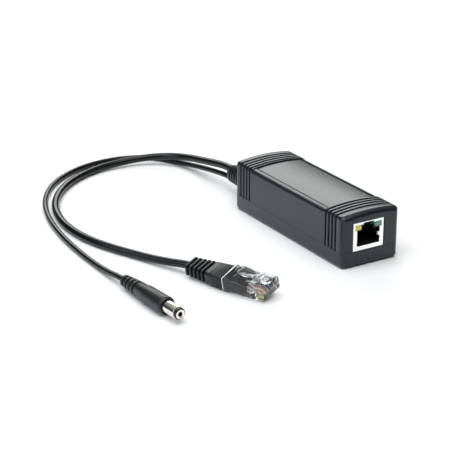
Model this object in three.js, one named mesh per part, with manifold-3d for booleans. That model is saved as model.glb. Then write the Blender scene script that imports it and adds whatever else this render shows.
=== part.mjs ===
// A power-over-Ethernet splitter: a plastic case with a network socket at one end and,
// at the other, a strain relief with two short leads, one to a modular network plug and
// one to a round DC plug. Millimetres, +Z up. The origin is at the middle of the case's
// underside, and +X runs along the case towards the socket.
import * as THREE from "three";
import { mergeVertices } from "three/addons/utils/BufferGeometryUtils.js";
import Module from "manifold-3d";

const wasm = await Module();
wasm.setup();

// Case
const CASE_LENGTH = 87.5;
const CASE_WIDTH = 30;
const CASE_HEIGHT = 25;
const ARCH_RISE = 1.3;
const SHOULDER_RADIUS = 1.9;
const END_RADIUS = 2.4;
const END_STEPS = 4;
const FOOT_RADIUS = 1.9;
const PARTING_Z = 7.3;
const WALL = 2;
const LOWER_WALL = 3.1;
const FLOOR = 1.8;
const LIP_HEIGHT = 1.7;
const LIP_INSET = 2.3;
const GAP = 0.3;
const END_X = CASE_LENGTH / 2;

// Grip grooves, four near each end, and the lowered panel between them
const GROOVE_WIDTH = 1.15;
const GROOVE_DEPTH = 0.55;
const GROOVE_PITCH = 2.5;
const GROOVE_COUNT = 4;
const FRONT_GROOVE_INSET = 5;
const REAR_GROOVE_INSET = 4.7;
const PANEL_ENDS = [-29.6, 29.3];
const PANEL_DROP = 0.4;
const LABEL_INSET = 2.5;
const LABEL_DROP = 0.25;

// Circuit board and the ledges and posts that hold it
const BOARD_X = [-33.5, 40.3];
const BOARD_HALF_WIDTH = 11.6;
const BOARD_Z = [5.5, 7.1];
const ON_BOARD = BOARD_Z[1] + GAP;
const LEDGE_WIDTH = 2;
const POST_SIZE = 1.6;

// Network socket
const JACK_Y = -1.3;
const JACK_HALF_WIDTH = 8;
const JACK_Z = [7.4, 20.3];
const JACK_X = [22.9, 43.45];
const SHEET = 0.35;
const BAY_HALF_WIDTH = 6;
const BAY_Z = [9.3, 16.2];
const BAY_BACK = 28.6;
const LED_Y = [3.7, 6.8];
const LED_Z = [16.9, 19.1];
const LATCH_WAY_HALF_WIDTH = 2.6;
const CONTACT_PITCH = 1.016;
const CONTACT_COUNT = 8;
const FINGER_HINGE = [41.6, 9.8];
const FINGER_END = [32.6, 11.7];
const FINGER_THICK = 0.34;

// Strain relief, with the two cords stacked one above the other at its end
const GLAND_Y = -4.5;
const GLAND_Z = [10.2, 9.1];
const GLAND_HALF_WIDTH = [4.2, 2.8];
const GLAND_HALF_HEIGHT = [5.4, 4.3];
const GLAND_END = -64;
const GLAND_KNEE = 0.7;
const GLAND_SIDES = 16;
const RING_PITCH = 2.4;
const RING_WIDTH = 1.5;
const RING_COUNT = 8;

// Cords
const NETWORK_CORD_DIAMETER = 3.6;
const DC_CORD_DIAMETER = 2.6;
const NETWORK_CORD_STEPS = 34;
const DC_CORD_STEPS = 42;

// Network plug: its own frame has the nose at x = 0 and the plug behind it. It rests on
// its boot's lower edge, rolled a little about its own length.
const PLUG_NOSE = [52.4, -56.2, 1.2];
const PLUG_HEADING = THREE.MathUtils.degToRad(23.6);
const PLUG_ROLL = THREE.MathUtils.degToRad(12.5);
const PLUG_LENGTH = 21.3;
const PLUG_HALF_WIDTH = 5.84;
const PLUG_Z = [0.4, 6.5];
const BOOT_LENGTH = 20.8;
const BOOT_BLOCK = 9.6;
const BOOT_BEND = THREE.MathUtils.degToRad(-2.6);
const BOOT_FRONT = { side: 5.85, bottom: 0, top: 6.4 };
const BOOT_REAR = { side: 4.2, bottom: 0.5, top: 5.7 };
const BOOT_RIBS = 5;
const LATCH_HINGE = [-0.8, 7.2];
const LATCH_ANGLE = THREE.MathUtils.degToRad(8);
const LATCH_REACH = 14.5;
const LATCH_THICK = 0.9;
const WIRE_RADIUS = 0.33;
const WIRE_Z = 3.55;

// DC plug: its own frame starts at the grip's rear end and runs forward along x
const DC_REAR = [10.7, -103.2, 3.5];
const DC_HEADING = THREE.MathUtils.degToRad(2.9);
const DC_TILT = THREE.MathUtils.degToRad(1.2);
const GRIP_LENGTH = 33.6;
const SLEEVE_LENGTH = 8.1;
const SLEEVE_RADIUS = 2.75;
const PIN_HOLE_RADIUS = 1.05;

const splitter = new THREE.Group();

// ---- Helpers -------------------------------------------------------------------------

const QUARTER = Math.PI / 2;

function solidOf(geometry) {
  const bare = geometry.index ? geometry.toNonIndexed() : geometry.clone();
  bare.deleteAttribute("normal");
  bare.deleteAttribute("uv");
  const merged = mergeVertices(bare, 1e-4);
  return new wasm.Manifold(
    new wasm.Mesh({
      numProp: 3,
      vertProperties: merged.attributes.position.array,
      triVerts: new Uint32Array(merged.index.array),
    }),
  );
}

function geometryOf(solid) {
  const mesh = solid.getMesh();
  const geometry = new THREE.BufferGeometry();
  geometry.setAttribute("position", new THREE.BufferAttribute(mesh.vertProperties, 3));
  geometry.setIndex(new THREE.BufferAttribute(mesh.triVerts, 1));
  const faceted = geometry.toNonIndexed();
  faceted.computeVertexNormals();
  return faceted;
}

function addPiece(name, geometry, material, parent = splitter) {
  const mesh = new THREE.Mesh(geometry, material);
  mesh.name = name;
  parent.add(mesh);
}

const finish = (color, roughness, metalness = 0) =>
  new THREE.MeshStandardMaterial({ color, roughness, metalness });

const blackPlastic = () => finish(0x2b2f33, 0.55);
const blackRubber = () => finish(0x232629, 0.5);
const clearPlastic = () =>
  new THREE.MeshStandardMaterial({
    color: 0xe8eef0,
    roughness: 0.12,
    metalness: 0,
    transparent: true,
    opacity: 0.35,
  });
const nickel = () => finish(0xd8d8d2, 0.3, 0.9);
const gold = () => finish(0xd9b45a, 0.25, 1);

// A box, given as a [low, high] pair for each axis.
function box([x0, x1], [y0, y1], [z0, z1]) {
  const geometry = new THREE.BoxGeometry(x1 - x0, y1 - y0, z1 - z0);
  return geometry.translate((x0 + x1) / 2, (y0 + y1) / 2, (z0 + z1) / 2);
}

const block = (...spans) => solidOf(box(...spans));

const joined = (solids) => solids.reduce((whole, solid) => whole.add(solid));

const extruded = (shape, depth, curveSegments) =>
  new THREE.ExtrudeGeometry(shape, { depth, bevelEnabled: false, curveSegments });

// The shape's x and y become Y and Z, and it is extruded along X.
function alongX(shape, [x0, x1], curveSegments = 3) {
  const geometry = extruded(shape, x1 - x0, curveSegments);
  const turn = new THREE.Matrix4().makeBasis(
    new THREE.Vector3(0, 1, 0),
    new THREE.Vector3(0, 0, 1),
    new THREE.Vector3(1, 0, 0),
  );
  return geometry.applyMatrix4(turn).translate(x0, 0, 0);
}

// The shape's x and y become X and Z, and it is extruded along Y.
function alongY(shape, [y0, y1], curveSegments = 3) {
  const geometry = extruded(shape, y1 - y0, curveSegments);
  return geometry.rotateX(Math.PI / 2).translate(0, y1, 0);
}

function alongZ(shape, [z0, z1], curveSegments = 3) {
  return extruded(shape, z1 - z0, curveSegments).translate(0, 0, z0);
}

const outline = (points) =>
  new THREE.Shape(points.map(([x, y]) => new THREE.Vector2(x, y)));

// Points along an arc, from one angle to another.
function arc([x, y], radius, [from, to], steps = 3) {
  return Array.from({ length: steps + 1 }, (_, k) => {
    const angle = from + ((to - from) * k) / steps;
    return [x + radius * Math.cos(angle), y + radius * Math.sin(angle)];
  });
}

// A rectangle with one radius for its two lower corners and one for its two upper ones.
function roundedOutline([x0, x1], [y0, y1], lower, upper = lower) {
  return [
    ...arc([x1 - lower, y0 + lower], lower, [-QUARTER, 0]),
    ...arc([x1 - upper, y1 - upper], upper, [0, QUARTER]),
    ...arc([x0 + upper, y1 - upper], upper, [QUARTER, 2 * QUARTER]),
    ...arc([x0 + lower, y0 + lower], lower, [2 * QUARTER, 3 * QUARTER]),
  ];
}

const roundedRect = (...spans) => outline(roundedOutline(...spans));

// A profile of [x, radius] points, turned round the X axis.
function turned(profile, segments = 20) {
  const points = profile.map(([x, radius]) => new THREE.Vector2(radius, x));
  return new THREE.LatheGeometry(points, segments).rotateZ(-Math.PI / 2);
}

// A ring turned round the X axis: an outer profile, and the bore's radius.
function turnedRing(outer, bore, segments = 20) {
  const first = [outer[0][0], bore];
  const last = [outer[outer.length - 1][0], bore];
  return turned([first, ...outer, last, first], segments);
}

// Rings of points at rising x, joined by a skin and closed at both ends. Each ring is
// convex and runs from +Y towards +Z.
function skinned(rings) {
  const sides = rings[0].length;
  const index = [];
  for (let ring = 0; ring + 1 < rings.length; ring++) {
    for (let k = 0; k < sides; k++) {
      const a = ring * sides + k;
      const b = ring * sides + ((k + 1) % sides);
      index.push(a, b, b + sides, a, b + sides, a + sides);
    }
  }
  const last = (rings.length - 1) * sides;
  for (let k = 1; k + 1 < sides; k++) {
    index.push(0, k + 1, k);
    index.push(last, last + k, last + k + 1);
  }
  const geometry = new THREE.BufferGeometry();
  geometry.setAttribute("position", new THREE.Float32BufferAttribute(rings.flat(2), 3));
  geometry.setIndex(index);
  geometry.computeVertexNormals();
  return geometry;
}

const ringAt = (x, points) => points.map(([y, z]) => [x, y, z]);

// A round tube along a smooth curve through the points.
function tube(points, diameter, steps, sides) {
  const section = [];
  for (let k = 0; k < sides; k++) {
    const angle = (k / sides) * 2 * Math.PI;
    section.push([(diameter / 2) * Math.cos(angle), (diameter / 2) * Math.sin(angle)]);
  }
  const path = new THREE.CatmullRomCurve3(points.map((p) => new THREE.Vector3(...p)));
  return new THREE.ExtrudeGeometry(outline(section), {
    steps,
    extrudePath: path,
    bevelEnabled: false,
  });
}

// ---- Case ----------------------------------------------------------------------------

// The case's section across its width as [y, z] points, moved inwards by the inset.
function crossSection(inset, base) {
  const half = CASE_WIDTH / 2 - inset;
  const archRadius = ((CASE_WIDTH / 2) ** 2 + ARCH_RISE ** 2) / (2 * ARCH_RISE);
  const archCentre = CASE_HEIGHT - archRadius;
  const radius = archRadius - inset;
  const shoulder = Math.max(SHOULDER_RADIUS - inset, 0.5);
  const foot = Math.max(FOOT_RADIUS - inset, 0.4);
  const shoulderY = half - shoulder;
  const shoulderZ = archCentre + Math.sqrt((radius - shoulder) ** 2 - shoulderY ** 2);
  const lean = Math.asin(shoulderY / (radius - shoulder));
  const arch = arc([0, archCentre], radius, [QUARTER - lean, QUARTER + lean], 8);
  return [
    ...arc([half - foot, base + foot], foot, [-QUARTER, 0]),
    ...arc([shoulderY, shoulderZ], shoulder, [0, QUARTER - lean], 5),
    ...arch.slice(1, -1),
    ...arc([-shoulderY, shoulderZ], shoulder, [QUARTER + lean, 2 * QUARTER], 5),
    ...arc([-half + foot, base + foot], foot, [2 * QUARTER, 3 * QUARTER]),
  ];
}

const caseSection = (inset, base) => outline(crossSection(inset, base));

// The whole case as one solid, moved inwards by the inset. Its section shrinks at both
// ends, which rounds the end edges.
function caseBody(inset, base) {
  const edge = Math.max(END_RADIUS - inset, 0.5);
  const sections = [];
  for (let k = 0; k <= END_STEPS; k++) {
    const turn = (k / END_STEPS) * QUARTER;
    const shrink = edge * (1 - Math.cos(turn));
    const rise = (shrink * FOOT_RADIUS) / END_RADIUS;
    sections.push({
      x: END_X - inset - edge * (1 - Math.sin(turn)),
      points: crossSection(inset + shrink, base + rise),
    });
  }
  const rear = sections.map(({ x, points }) => ringAt(-x, points)).reverse();
  const front = sections.map(({ x, points }) => ringAt(x, points));
  return solidOf(skinned([...rear, ...front]));
}

const everywhere = [-100, 100];

function grooves() {
  const starts = [];
  for (let k = 0; k < GROOVE_COUNT; k++) {
    starts.push(END_X - FRONT_GROOVE_INSET - k * GROOVE_PITCH - GROOVE_WIDTH);
    starts.push(-END_X + REAR_GROOVE_INSET + k * GROOVE_PITCH);
  }
  const slots = starts.map((x) =>
    block([x, x + GROOVE_WIDTH], everywhere, [PARTING_Z, CASE_HEIGHT + 1]),
  );
  const kept = alongX(caseSection(GROOVE_DEPTH, 0), everywhere);
  return joined(slots).subtract(solidOf(kept));
}

// What is taken off the top between the grooved ends, and off the label field inside it.
function topPanel() {
  const lowered = alongX(caseSection(0, 0), everywhere).translate(0, 0, -PANEL_DROP);
  const panel = block(PANEL_ENDS, everywhere, [CASE_HEIGHT - 4, CASE_HEIGHT + 1]);
  const drop = PANEL_DROP + LABEL_DROP;
  const labelFloor = alongX(caseSection(0, 0), everywhere).translate(0, 0, -drop);
  const labelHalf = CASE_WIDTH / 2 - LABEL_INSET;
  const label = block(PANEL_ENDS, [-labelHalf, labelHalf], [CASE_HEIGHT - 4, CASE_HEIGHT + 1]);
  return panel
    .subtract(solidOf(lowered))
    .add(label.subtract(solidOf(labelFloor)));
}

// The oval neck of the strain relief, made larger all round by grow.
function glandNeck(x, grow) {
  return {
    x,
    y: GLAND_Y,
    z: GLAND_Z[0],
    halfWidth: 3.6 + grow,
    halfHeight: 4.8 + grow,
  };
}

function oval({ x, y, z, halfWidth, halfHeight }) {
  return Array.from({ length: GLAND_SIDES }, (_, k) => {
    const angle = (k / GLAND_SIDES) * 4 * QUARTER;
    return [x, y + halfWidth * Math.cos(angle), z + halfHeight * Math.sin(angle)];
  });
}

function glandHole() {
  const ends = [-END_X - 1, -END_X + LOWER_WALL + 1];
  return solidOf(skinned(ends.map((x) => oval(glandNeck(x, GAP)))));
}

const jackHole = () =>
  block(
    [END_X - LOWER_WALL - 1, END_X + 1],
    [JACK_Y - JACK_HALF_WIDTH - GAP, JACK_Y + JACK_HALF_WIDTH + GAP],
    [PARTING_Z - GAP / 2, JACK_Z[1] + GAP],
  );

function upperCase() {
  const split = PARTING_Z + GAP / 2;
  const shell = caseBody(0, 0)
    .intersect(block(everywhere, everywhere, [split, CASE_HEIGHT + 1]))
    .subtract(caseBody(WALL, 0.5))
    .subtract(grooves())
    .subtract(topPanel());
  const posts = [];
  for (const x of [-31, 18]) {
    for (const side of [-1, 1]) {
      const y = side * (BOARD_HALF_WIDTH - POST_SIZE / 2 - GAP);
      const span = [y - POST_SIZE / 2, y + POST_SIZE / 2];
      posts.push(block([x, x + POST_SIZE], span, [ON_BOARD, CASE_HEIGHT - WALL]));
    }
  }
  return joined([shell, ...posts]).subtract(glandHole()).subtract(jackHole());
}

function lowerCase() {
  const split = PARTING_Z - GAP / 2;
  const tray = caseBody(0, 0).intersect(block(everywhere, everywhere, [-1, split]));
  const lipTop = split + LIP_HEIGHT;
  const lip = caseBody(LIP_INSET, 1).intersect(block(everywhere, everywhere, [4, lipTop]));
  const ledges = [-1, 1].map((side) => {
    const outer = CASE_WIDTH / 2 - LOWER_WALL + 0.5;
    const span = [side * outer, side * (outer - LEDGE_WIDTH - 0.5)].sort((a, b) => a - b);
    return block([BOARD_X[0], BOARD_X[1] - 2], span, [FLOOR - 0.5, BOARD_Z[0] - GAP]);
  });
  const hollow = tray.add(lip).subtract(caseBody(LOWER_WALL, FLOOR));
  return joined([hollow, ...ledges]).subtract(glandHole()).subtract(jackHole());
}

addPiece("upper_case", geometryOf(upperCase()), blackPlastic());
addPiece("lower_case", geometryOf(lowerCase()), blackPlastic());

// ---- Circuit board and what stands on it ---------------------------------------------

// A moulded package with a row of bent legs along each long side.
function chipWithLegs([x0, x1], [y0, y1], height, legs) {
  const body = block([x0, x1], [y0, y1], [ON_BOARD + 0.15, ON_BOARD + height]);
  const pitch = (x1 - x0) / legs;
  const rows = [];
  for (let k = 0; k < legs; k++) {
    const x = x0 + pitch * (k + 0.5);
    const span = [x - pitch * 0.2, x + pitch * 0.2];
    const bend = [ON_BOARD + height * 0.4, ON_BOARD + height * 0.5];
    rows.push(block(span, [y0 - 1, y1 + 1], bend));
    rows.push(block(span, [y0 - 1, y0 - 0.8], [ON_BOARD, bend[1]]));
    rows.push(block(span, [y1 + 0.8, y1 + 1], [ON_BOARD, bend[1]]));
  }
  return geometryOf(joined([body, ...rows]));
}

// A can capacitor standing on the board, with the crimped ring near its foot.
function canCapacitor(x, y, radius, height) {
  const crimp = radius - 0.4;
  const profile = [
    [0, 0],
    [0, radius],
    [1.2, radius],
    [1.6, crimp],
    [2, crimp],
    [2.4, radius],
    [height - 0.4, radius],
    [height, radius - 0.4],
    [height, 0],
  ];
  const geometry = turned(profile, 16).rotateY(-Math.PI / 2);
  return geometry.translate(x, y, ON_BOARD);
}

const boardShape = roundedRect(BOARD_X, [-BOARD_HALF_WIDTH, BOARD_HALF_WIDTH], 1);
addPiece("circuit_board", alongZ(boardShape, BOARD_Z), finish(0x1f6b3c, 0.45));

const onBoard = [
  ["data_transformer", chipWithLegs([11, 20.5], [-6.5, 6.5], 5.6, 8), 0x1b1b1d],
  ["bridge_rectifier_1", chipWithLegs([4, 8.8], [-9, -5], 2.4, 2), 0x1b1b1d],
  ["bridge_rectifier_2", chipWithLegs([4, 8.8], [5, 9], 2.4, 2), 0x1b1b1d],
  ["power_controller_chip", chipWithLegs([3.5, 8.5], [-2, 2], 1.6, 4), 0x18181a],
  ["switching_controller_chip", chipWithLegs([-17, -12], [-9.3, -5.3], 1.6, 4), 0x18181a],
  ["output_diode", chipWithLegs([-31.6, -27.4], [4, 7.2], 2.2, 1), 0x1b1b1d],
  ["input_capacitor", canCapacitor(-22.5, -5, 4, 11.5), 0x2a2d52],
  ["output_capacitor", canCapacitor(-22.5, 4.6, 4, 11.5), 0x2a2d52],
];
for (const [name, geometry, color] of onBoard) {
  addPiece(name, geometry, finish(color, 0.45));
}

const inductorPlan = roundedRect([-17.6, -11.6], [2.6, 9], 1.2);
const inductor = alongZ(inductorPlan, [ON_BOARD, ON_BOARD + 4.2]);
addPiece("power_inductor", inductor, finish(0x4a4a4c, 0.6));

// The power transformer: a two-window ferrite core, the bobbin on its middle leg, and
// the wire wound on the bobbin.
const CORE_X = [-10.5, 2.5];
const CORE_Y = [-2.6, 2.6];
const CORE_Z = [8.6, 20];
const LEG = 2.2;

function rectRing([x0, x1], [y0, y1], hole) {
  const shape = outline([
    [x0, y0],
    [x1, y0],
    [x1, y1],
    [x0, y1],
  ]);
  shape.holes.push(
    outline([
      [hole[0][0], hole[1][0]],
      [hole[0][0], hole[1][1]],
      [hole[0][1], hole[1][1]],
      [hole[0][1], hole[1][0]],
    ]),
  );
  return shape;
}

const coreMiddle = (CORE_X[0] + CORE_X[1]) / 2;
const windowZ = [CORE_Z[0] + LEG, CORE_Z[1] - LEG];
const middleLeg = [coreMiddle - LEG, coreMiddle + LEG];

// A rectangular collar round the core's middle leg, with its wall in X and in Y.
function legCollar(inner, [outerX, outerY], span) {
  const hole = [
    [middleLeg[0] - inner, middleLeg[1] + inner],
    [CORE_Y[0] - inner, CORE_Y[1] + inner],
  ];
  const xs = [middleLeg[0] - outerX, middleLeg[1] + outerX];
  return alongZ(rectRing(xs, [CORE_Y[0] - outerY, CORE_Y[1] + outerY], hole), span);
}

function transformerCore() {
  const windows = [
    block([CORE_X[0] + LEG, middleLeg[0]], everywhere, windowZ),
    block([middleLeg[1], CORE_X[1] - LEG], everywhere, windowZ),
  ];
  return block(CORE_X, CORE_Y, CORE_Z).subtract(joined(windows));
}

function transformerBobbin() {
  const tubeSpan = [windowZ[0] + GAP, windowZ[1] - GAP];
  const wall = solidOf(legCollar(GAP, [0.6, 0.6], tubeSpan));
  const flanges = [
    solidOf(legCollar(GAP, [1.8, 3], [tubeSpan[0], tubeSpan[0] + 0.6])),
    solidOf(legCollar(GAP, [1.8, 3], [tubeSpan[1] - 0.6, tubeSpan[1]])),
  ];
  const feet = [-1, 1].map((side) => {
    const span = [side * 4.5, side * 5.4].sort((a, b) => a - b);
    return block([middleLeg[0] - 1.5, middleLeg[1] + 1.5], span, [ON_BOARD, tubeSpan[0] + 0.6]);
  });
  return joined([wall, ...flanges, ...feet]);
}

addPiece("transformer_core", geometryOf(transformerCore()), finish(0x3a3a3c, 0.7));
addPiece("transformer_bobbin", geometryOf(transformerBobbin()), finish(0x1d1d1f, 0.5));
addPiece(
  "transformer_winding",
  legCollar(0.9, [1.75, 2.8], [windowZ[0] + GAP + 0.9, windowZ[1] - GAP - 0.9]),
  finish(0xd8b23a, 0.4),
);

// ---- Network socket ------------------------------------------------------------------

const jackSpan = (low, high) => [JACK_Y + low, JACK_Y + high];

// A spring tab of the shield, folded in at the mouth's edge and bowed into the bay.
function shieldTab(side) {
  const front = JACK_X[1];
  const bow = [
    [0, 5.98],
    [-0.45, 5.6],
    [-1.05, 5.3],
    [-1.75, 5.25],
    [-2.35, 5.45],
    [-2.35, 5.72],
    [-1.75, 5.52],
    [-1.15, 5.56],
    [-0.65, 5.82],
    [-0.35, 6.15],
    [0, 6.15],
  ];
  const shape = outline(bow.map(([x, y]) => [front + x, JACK_Y + side * y]));
  return solidOf(alongZ(shape, [12.4, 14.1]));
}

function jackShield() {
  const wide = jackSpan(-JACK_HALF_WIDTH, JACK_HALF_WIDTH);
  const inner = JACK_HALF_WIDTH - SHEET;
  const shell = block(JACK_X, wide, JACK_Z).subtract(
    block(
      [JACK_X[0] + SHEET, JACK_X[1] - SHEET],
      jackSpan(-inner, inner),
      [JACK_Z[0] - 1, JACK_Z[1] - SHEET],
    ),
  );
  const through = [JACK_X[1] - 2 * SHEET, JACK_X[1] + 1];
  const bay = block(through, jackSpan(-BAY_HALF_WIDTH, BAY_HALF_WIDTH), [BAY_Z[0], LED_Z[0]]);
  const lamps = block(
    through,
    jackSpan(-LED_Y[1] - 0.15, LED_Y[1] + 0.15),
    [LED_Z[0] - 0.2, LED_Z[1] + 0.15],
  );
  const latchWay = block(
    through,
    jackSpan(-LATCH_WAY_HALF_WIDTH, LATCH_WAY_HALF_WIDTH),
    [LED_Z[0], LED_Z[1] + 0.85],
  );
  const open = shell.subtract(joined([bay, lamps, latchWay]));
  return joined([open, shieldTab(-1), shieldTab(1)]);
}

function jackHousing() {
  const front = JACK_X[1] - SHEET - GAP;
  const outer = JACK_HALF_WIDTH - SHEET - GAP;
  const body = block(
    [JACK_X[0] + SHEET + GAP, front],
    jackSpan(-outer, outer),
    [JACK_Z[0], JACK_Z[1] - SHEET - GAP],
  );
  const open = front + 1;
  const cuts = [
    block([BAY_BACK, open], jackSpan(-5.95, 5.95), BAY_Z),
    block([34.5, open], jackSpan(-3.1, 3.1), [BAY_Z[1] - 1, 18.1]),
    block([36.5, open], jackSpan(-1.8, 1.8), [18, 19.2]),
  ];
  for (const side of [-1, 1]) {
    const lamp = jackSpan(...[side * 3.4, side * (outer + 1)].sort((a, b) => a - b));
    cuts.push(block([35.9, open], lamp, [LED_Z[0] - GAP, JACK_Z[1]]));
    const tab = jackSpan(...[side * 5.5, side * (outer + 1)].sort((a, b) => a - b));
    cuts.push(block([40.6, open], tab, [12.1, 14.4]));
  }
  return body.subtract(joined(cuts));
}

function ledLens(side) {
  const span = jackSpan(...[side * LED_Y[0], side * LED_Y[1]].sort((a, b) => a - b));
  return alongX(roundedRect(span, LED_Z, 0.5), [36.3, JACK_X[1] - 0.1], 2);
}

// One spring finger, leaning back and up from the fold at the socket's mouth.
function jackContact(index) {
  const [hingeX, hingeZ] = FINGER_HINGE;
  const [endX, endZ] = FINGER_END;
  const half = FINGER_THICK / 2;
  const finger = outline([
    [hingeX, hingeZ - half],
    [hingeX + 0.35, hingeZ],
    [hingeX, hingeZ + half],
    [endX + 0.6, endZ + half],
    [endX, endZ - 0.2],
    [endX + 0.2, endZ - 0.5],
    [endX + 0.8, endZ - half],
  ]);
  const y = JACK_Y + (index - (CONTACT_COUNT - 1) / 2) * CONTACT_PITCH;
  return alongY(finger, [y - 0.22, y + 0.22]);
}

addPiece("jack_shield", geometryOf(jackShield()), nickel());
addPiece("jack_housing", geometryOf(jackHousing()), finish(0x151516, 0.5));
addPiece("led_yellow", ledLens(-1), finish(0xd8cf3c, 0.3));
addPiece("led_green", ledLens(1), finish(0x3f9d6c, 0.3));
for (let k = 0; k < CONTACT_COUNT; k++) {
  addPiece("jack_contact_" + (k + 1), jackContact(k), gold());
}

// ---- Strain relief -------------------------------------------------------------------

// The strain relief's oval at x: it narrows slowly at first, and faster past the knee.
function glandOval(x, shrink = 0) {
  const reach = THREE.MathUtils.clamp((-END_X - x) / (-END_X - GLAND_END), 0, 1);
  const beyond = Math.max(reach - GLAND_KNEE, 0) / (1 - GLAND_KNEE);
  const taper = Math.min(reach, GLAND_KNEE) / 2 + beyond * (1 - GLAND_KNEE / 2);
  return oval({
    x,
    y: GLAND_Y,
    z: THREE.MathUtils.lerp(...GLAND_Z, taper),
    halfWidth: THREE.MathUtils.lerp(...GLAND_HALF_WIDTH, taper) - shrink,
    halfHeight: THREE.MathUtils.lerp(...GLAND_HALF_HEIGHT, taper) - shrink,
  });
}

function glandRings() {
  const inside = [-38.2, -40.2].map((x) => oval(glandNeck(x, 1.1)));
  const through = [-40.3, -END_X - GAP].map((x) => oval(glandNeck(x, 0)));
  const rings = [];
  for (let k = 0; k < RING_COUNT; k++) {
    const start = -END_X - GAP - 0.1 - k * RING_PITCH;
    const stop = k === RING_COUNT - 1 ? GLAND_END : start - RING_WIDTH;
    rings.push(glandOval(start), glandOval(stop));
    if (k < RING_COUNT - 1) {
      rings.push(glandOval(stop - 0.1, 0.9), glandOval(start - RING_PITCH + 0.1, 0.9));
    }
  }
  return [...inside, ...through, ...rings].reverse();
}

addPiece("cable_gland", skinned(glandRings()), blackRubber());

// ---- Wires from the strain relief to the board ---------------------------------------

function boardWire(name, startY, startZ, padX, padY, color) {
  const points = [
    [-37.9, startY, startZ],
    [-36.6, startY, startZ],
    [-34.6, (2 * startY + padY) / 3, Math.max(startZ, 10)],
    [padX - 1.2, (startY + 2 * padY) / 3, 10.4],
    [padX, padY, 9.2],
    [padX, padY, ON_BOARD],
  ];
  addPiece(name, tube(points, 1, 10, 6), finish(color, 0.45));
}

boardWire("dc_wire_positive", GLAND_Y - 2.4, 7.9, -31.2, -8.4, 0xa81f1f);
boardWire("dc_wire_negative", GLAND_Y - 1.1, 7.9, -29.2, -6.6, 0x1a1a1a);
["orange", "green", "blue", "brown"].forEach((name, k) => {
  const colors = [0xd9772b, 0x2f8f4a, 0x2c57a8, 0x7a4a2a];
  const startY = GLAND_Y + 0.2 + k * 1.3;
  boardWire("network_pair_" + name, startY, 11, -30.4, -3.4 + k * 1.9, colors[k]);
});

// ---- Cords ---------------------------------------------------------------------------

// From the strain relief down to the floor, over the DC cord, round the loop and up to
// the network plug's boot.
const networkRoute = [
  [-64.3, -4.3, 11.3],
  [-71.5, -4.5, 10.9],
  [-78.3, -5, 10],
  [-88.3, -6, 8.5],
  [-98.2, -7.2, 7],
  [-107.6, -10.8, 5.7],
  [-115, -17.4, 4.6],
  [-119.8, -26, 3.5],
  [-121.8, -35.9, 2.6],
  [-121.5, -45.9, 2.1],
  [-118.6, -55.6, 1.9],
  [-113.9, -64.5, 1.9],
  [-107.8, -72.6, 1.9],
  [-100.5, -79.6, 1.9],
  [-92.2, -85.4, 1.9],
  [-83.1, -89.9, 1.9],
  [-73.5, -93, 1.9],
  [-63.5, -94.9, 1.9],
  [-53.4, -95.3, 1.9],
  [-43.3, -94.4, 1.9],
  [-33.5, -92, 1.9],
  [-24, -88.5, 1.9],
  [-14.9, -84.6, 2],
  [-5.8, -80.9, 2.4],
  [3.8, -76.9, 3.3],
  [8.8, -74.85, 4],
  [13.37, -72.96, 4.43],
];

// From the strain relief down to the floor, under the network cord, round outside it
// and up to the DC plug's grip.
const dcRoute = [
  [-64.3, -4.8, 6.9],
  [-71.5, -4.8, 6.4],
  [-78.3, -4.7, 5.5],
  [-88.3, -4.6, 4],
  [-98.3, -5.3, 2.6],
  [-108.1, -7.5, 1.6],
  [-117.3, -11.7, 1.4],
  [-124.6, -18.3, 1.4],
  [-129, -27.4, 1.4],
  [-130.6, -37.4, 1.4],
  [-129.7, -47.4, 1.4],
  [-126.8, -57.1, 1.4],
  [-122, -66.2, 1.4],
  [-115.9, -74.2, 1.4],
  [-108.5, -81.1, 1.4],
  [-100.2, -86.9, 1.4],
  [-91.2, -91.5, 1.4],
  [-81.8, -95.2, 1.4],
  [-72.1, -98.1, 1.4],
  [-62.2, -100.2, 1.4],
  [-52.2, -101.8, 1.4],
  [-42.1, -102.9, 1.4],
  [-32, -103.5, 1.4],
  [-21.9, -103.8, 1.4],
  [-11.8, -103.8, 1.6],
  [-1.7, -103.75, 2.4],
  [5, -103.5, 3.2],
  [10.4, -103.2, 3.5],
];

addPiece(
  "network_cord",
  tube(networkRoute, NETWORK_CORD_DIAMETER, NETWORK_CORD_STEPS, 8),
  blackRubber(),
);
addPiece("dc_cord", tube(dcRoute, DC_CORD_DIAMETER, DC_CORD_STEPS, 8), blackRubber());

// ---- Network plug --------------------------------------------------------------------

const plug = new THREE.Group();
plug.position.set(...PLUG_NOSE);
plug.rotation.set(PLUG_ROLL, 0, PLUG_HEADING, "ZYX");
splitter.add(plug);

const contactY = (index) => (index - (CONTACT_COUNT - 1) / 2) * CONTACT_PITCH;

function plugBody() {
  const rear = -PLUG_LENGTH + 0.5;
  const [low, high] = PLUG_Z;
  const side = outline([
    [rear, low],
    [-0.6, low],
    [0, low + 0.6],
    [0, 5.6],
    [-0.8, 6.4],
    [-3.2, 6.4],
    [-4.2, 6],
    [-13.5, 6],
    [-14.4, high],
    [rear, high],
  ]);
  const body = solidOf(alongY(side, [-PLUG_HALF_WIDTH, PLUG_HALF_WIDTH]));
  const cuts = [
    block([rear - 1, -10.2], [-4.1, 4.1], [1.5, 5.5]),
    block([-10.4, -5.6], [-4.4, 4.4], [2.6, 4.8]),
    block([-5.8, -0.9], [-4.35, 4.35], [3.05, 4.2]),
  ];
  for (let k = 0; k < CONTACT_COUNT; k++) {
    cuts.push(block([-4.6, -1], [contactY(k) - 0.31, contactY(k) + 0.31], [0, 3.2]));
  }
  return body.subtract(joined(cuts));
}

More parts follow.
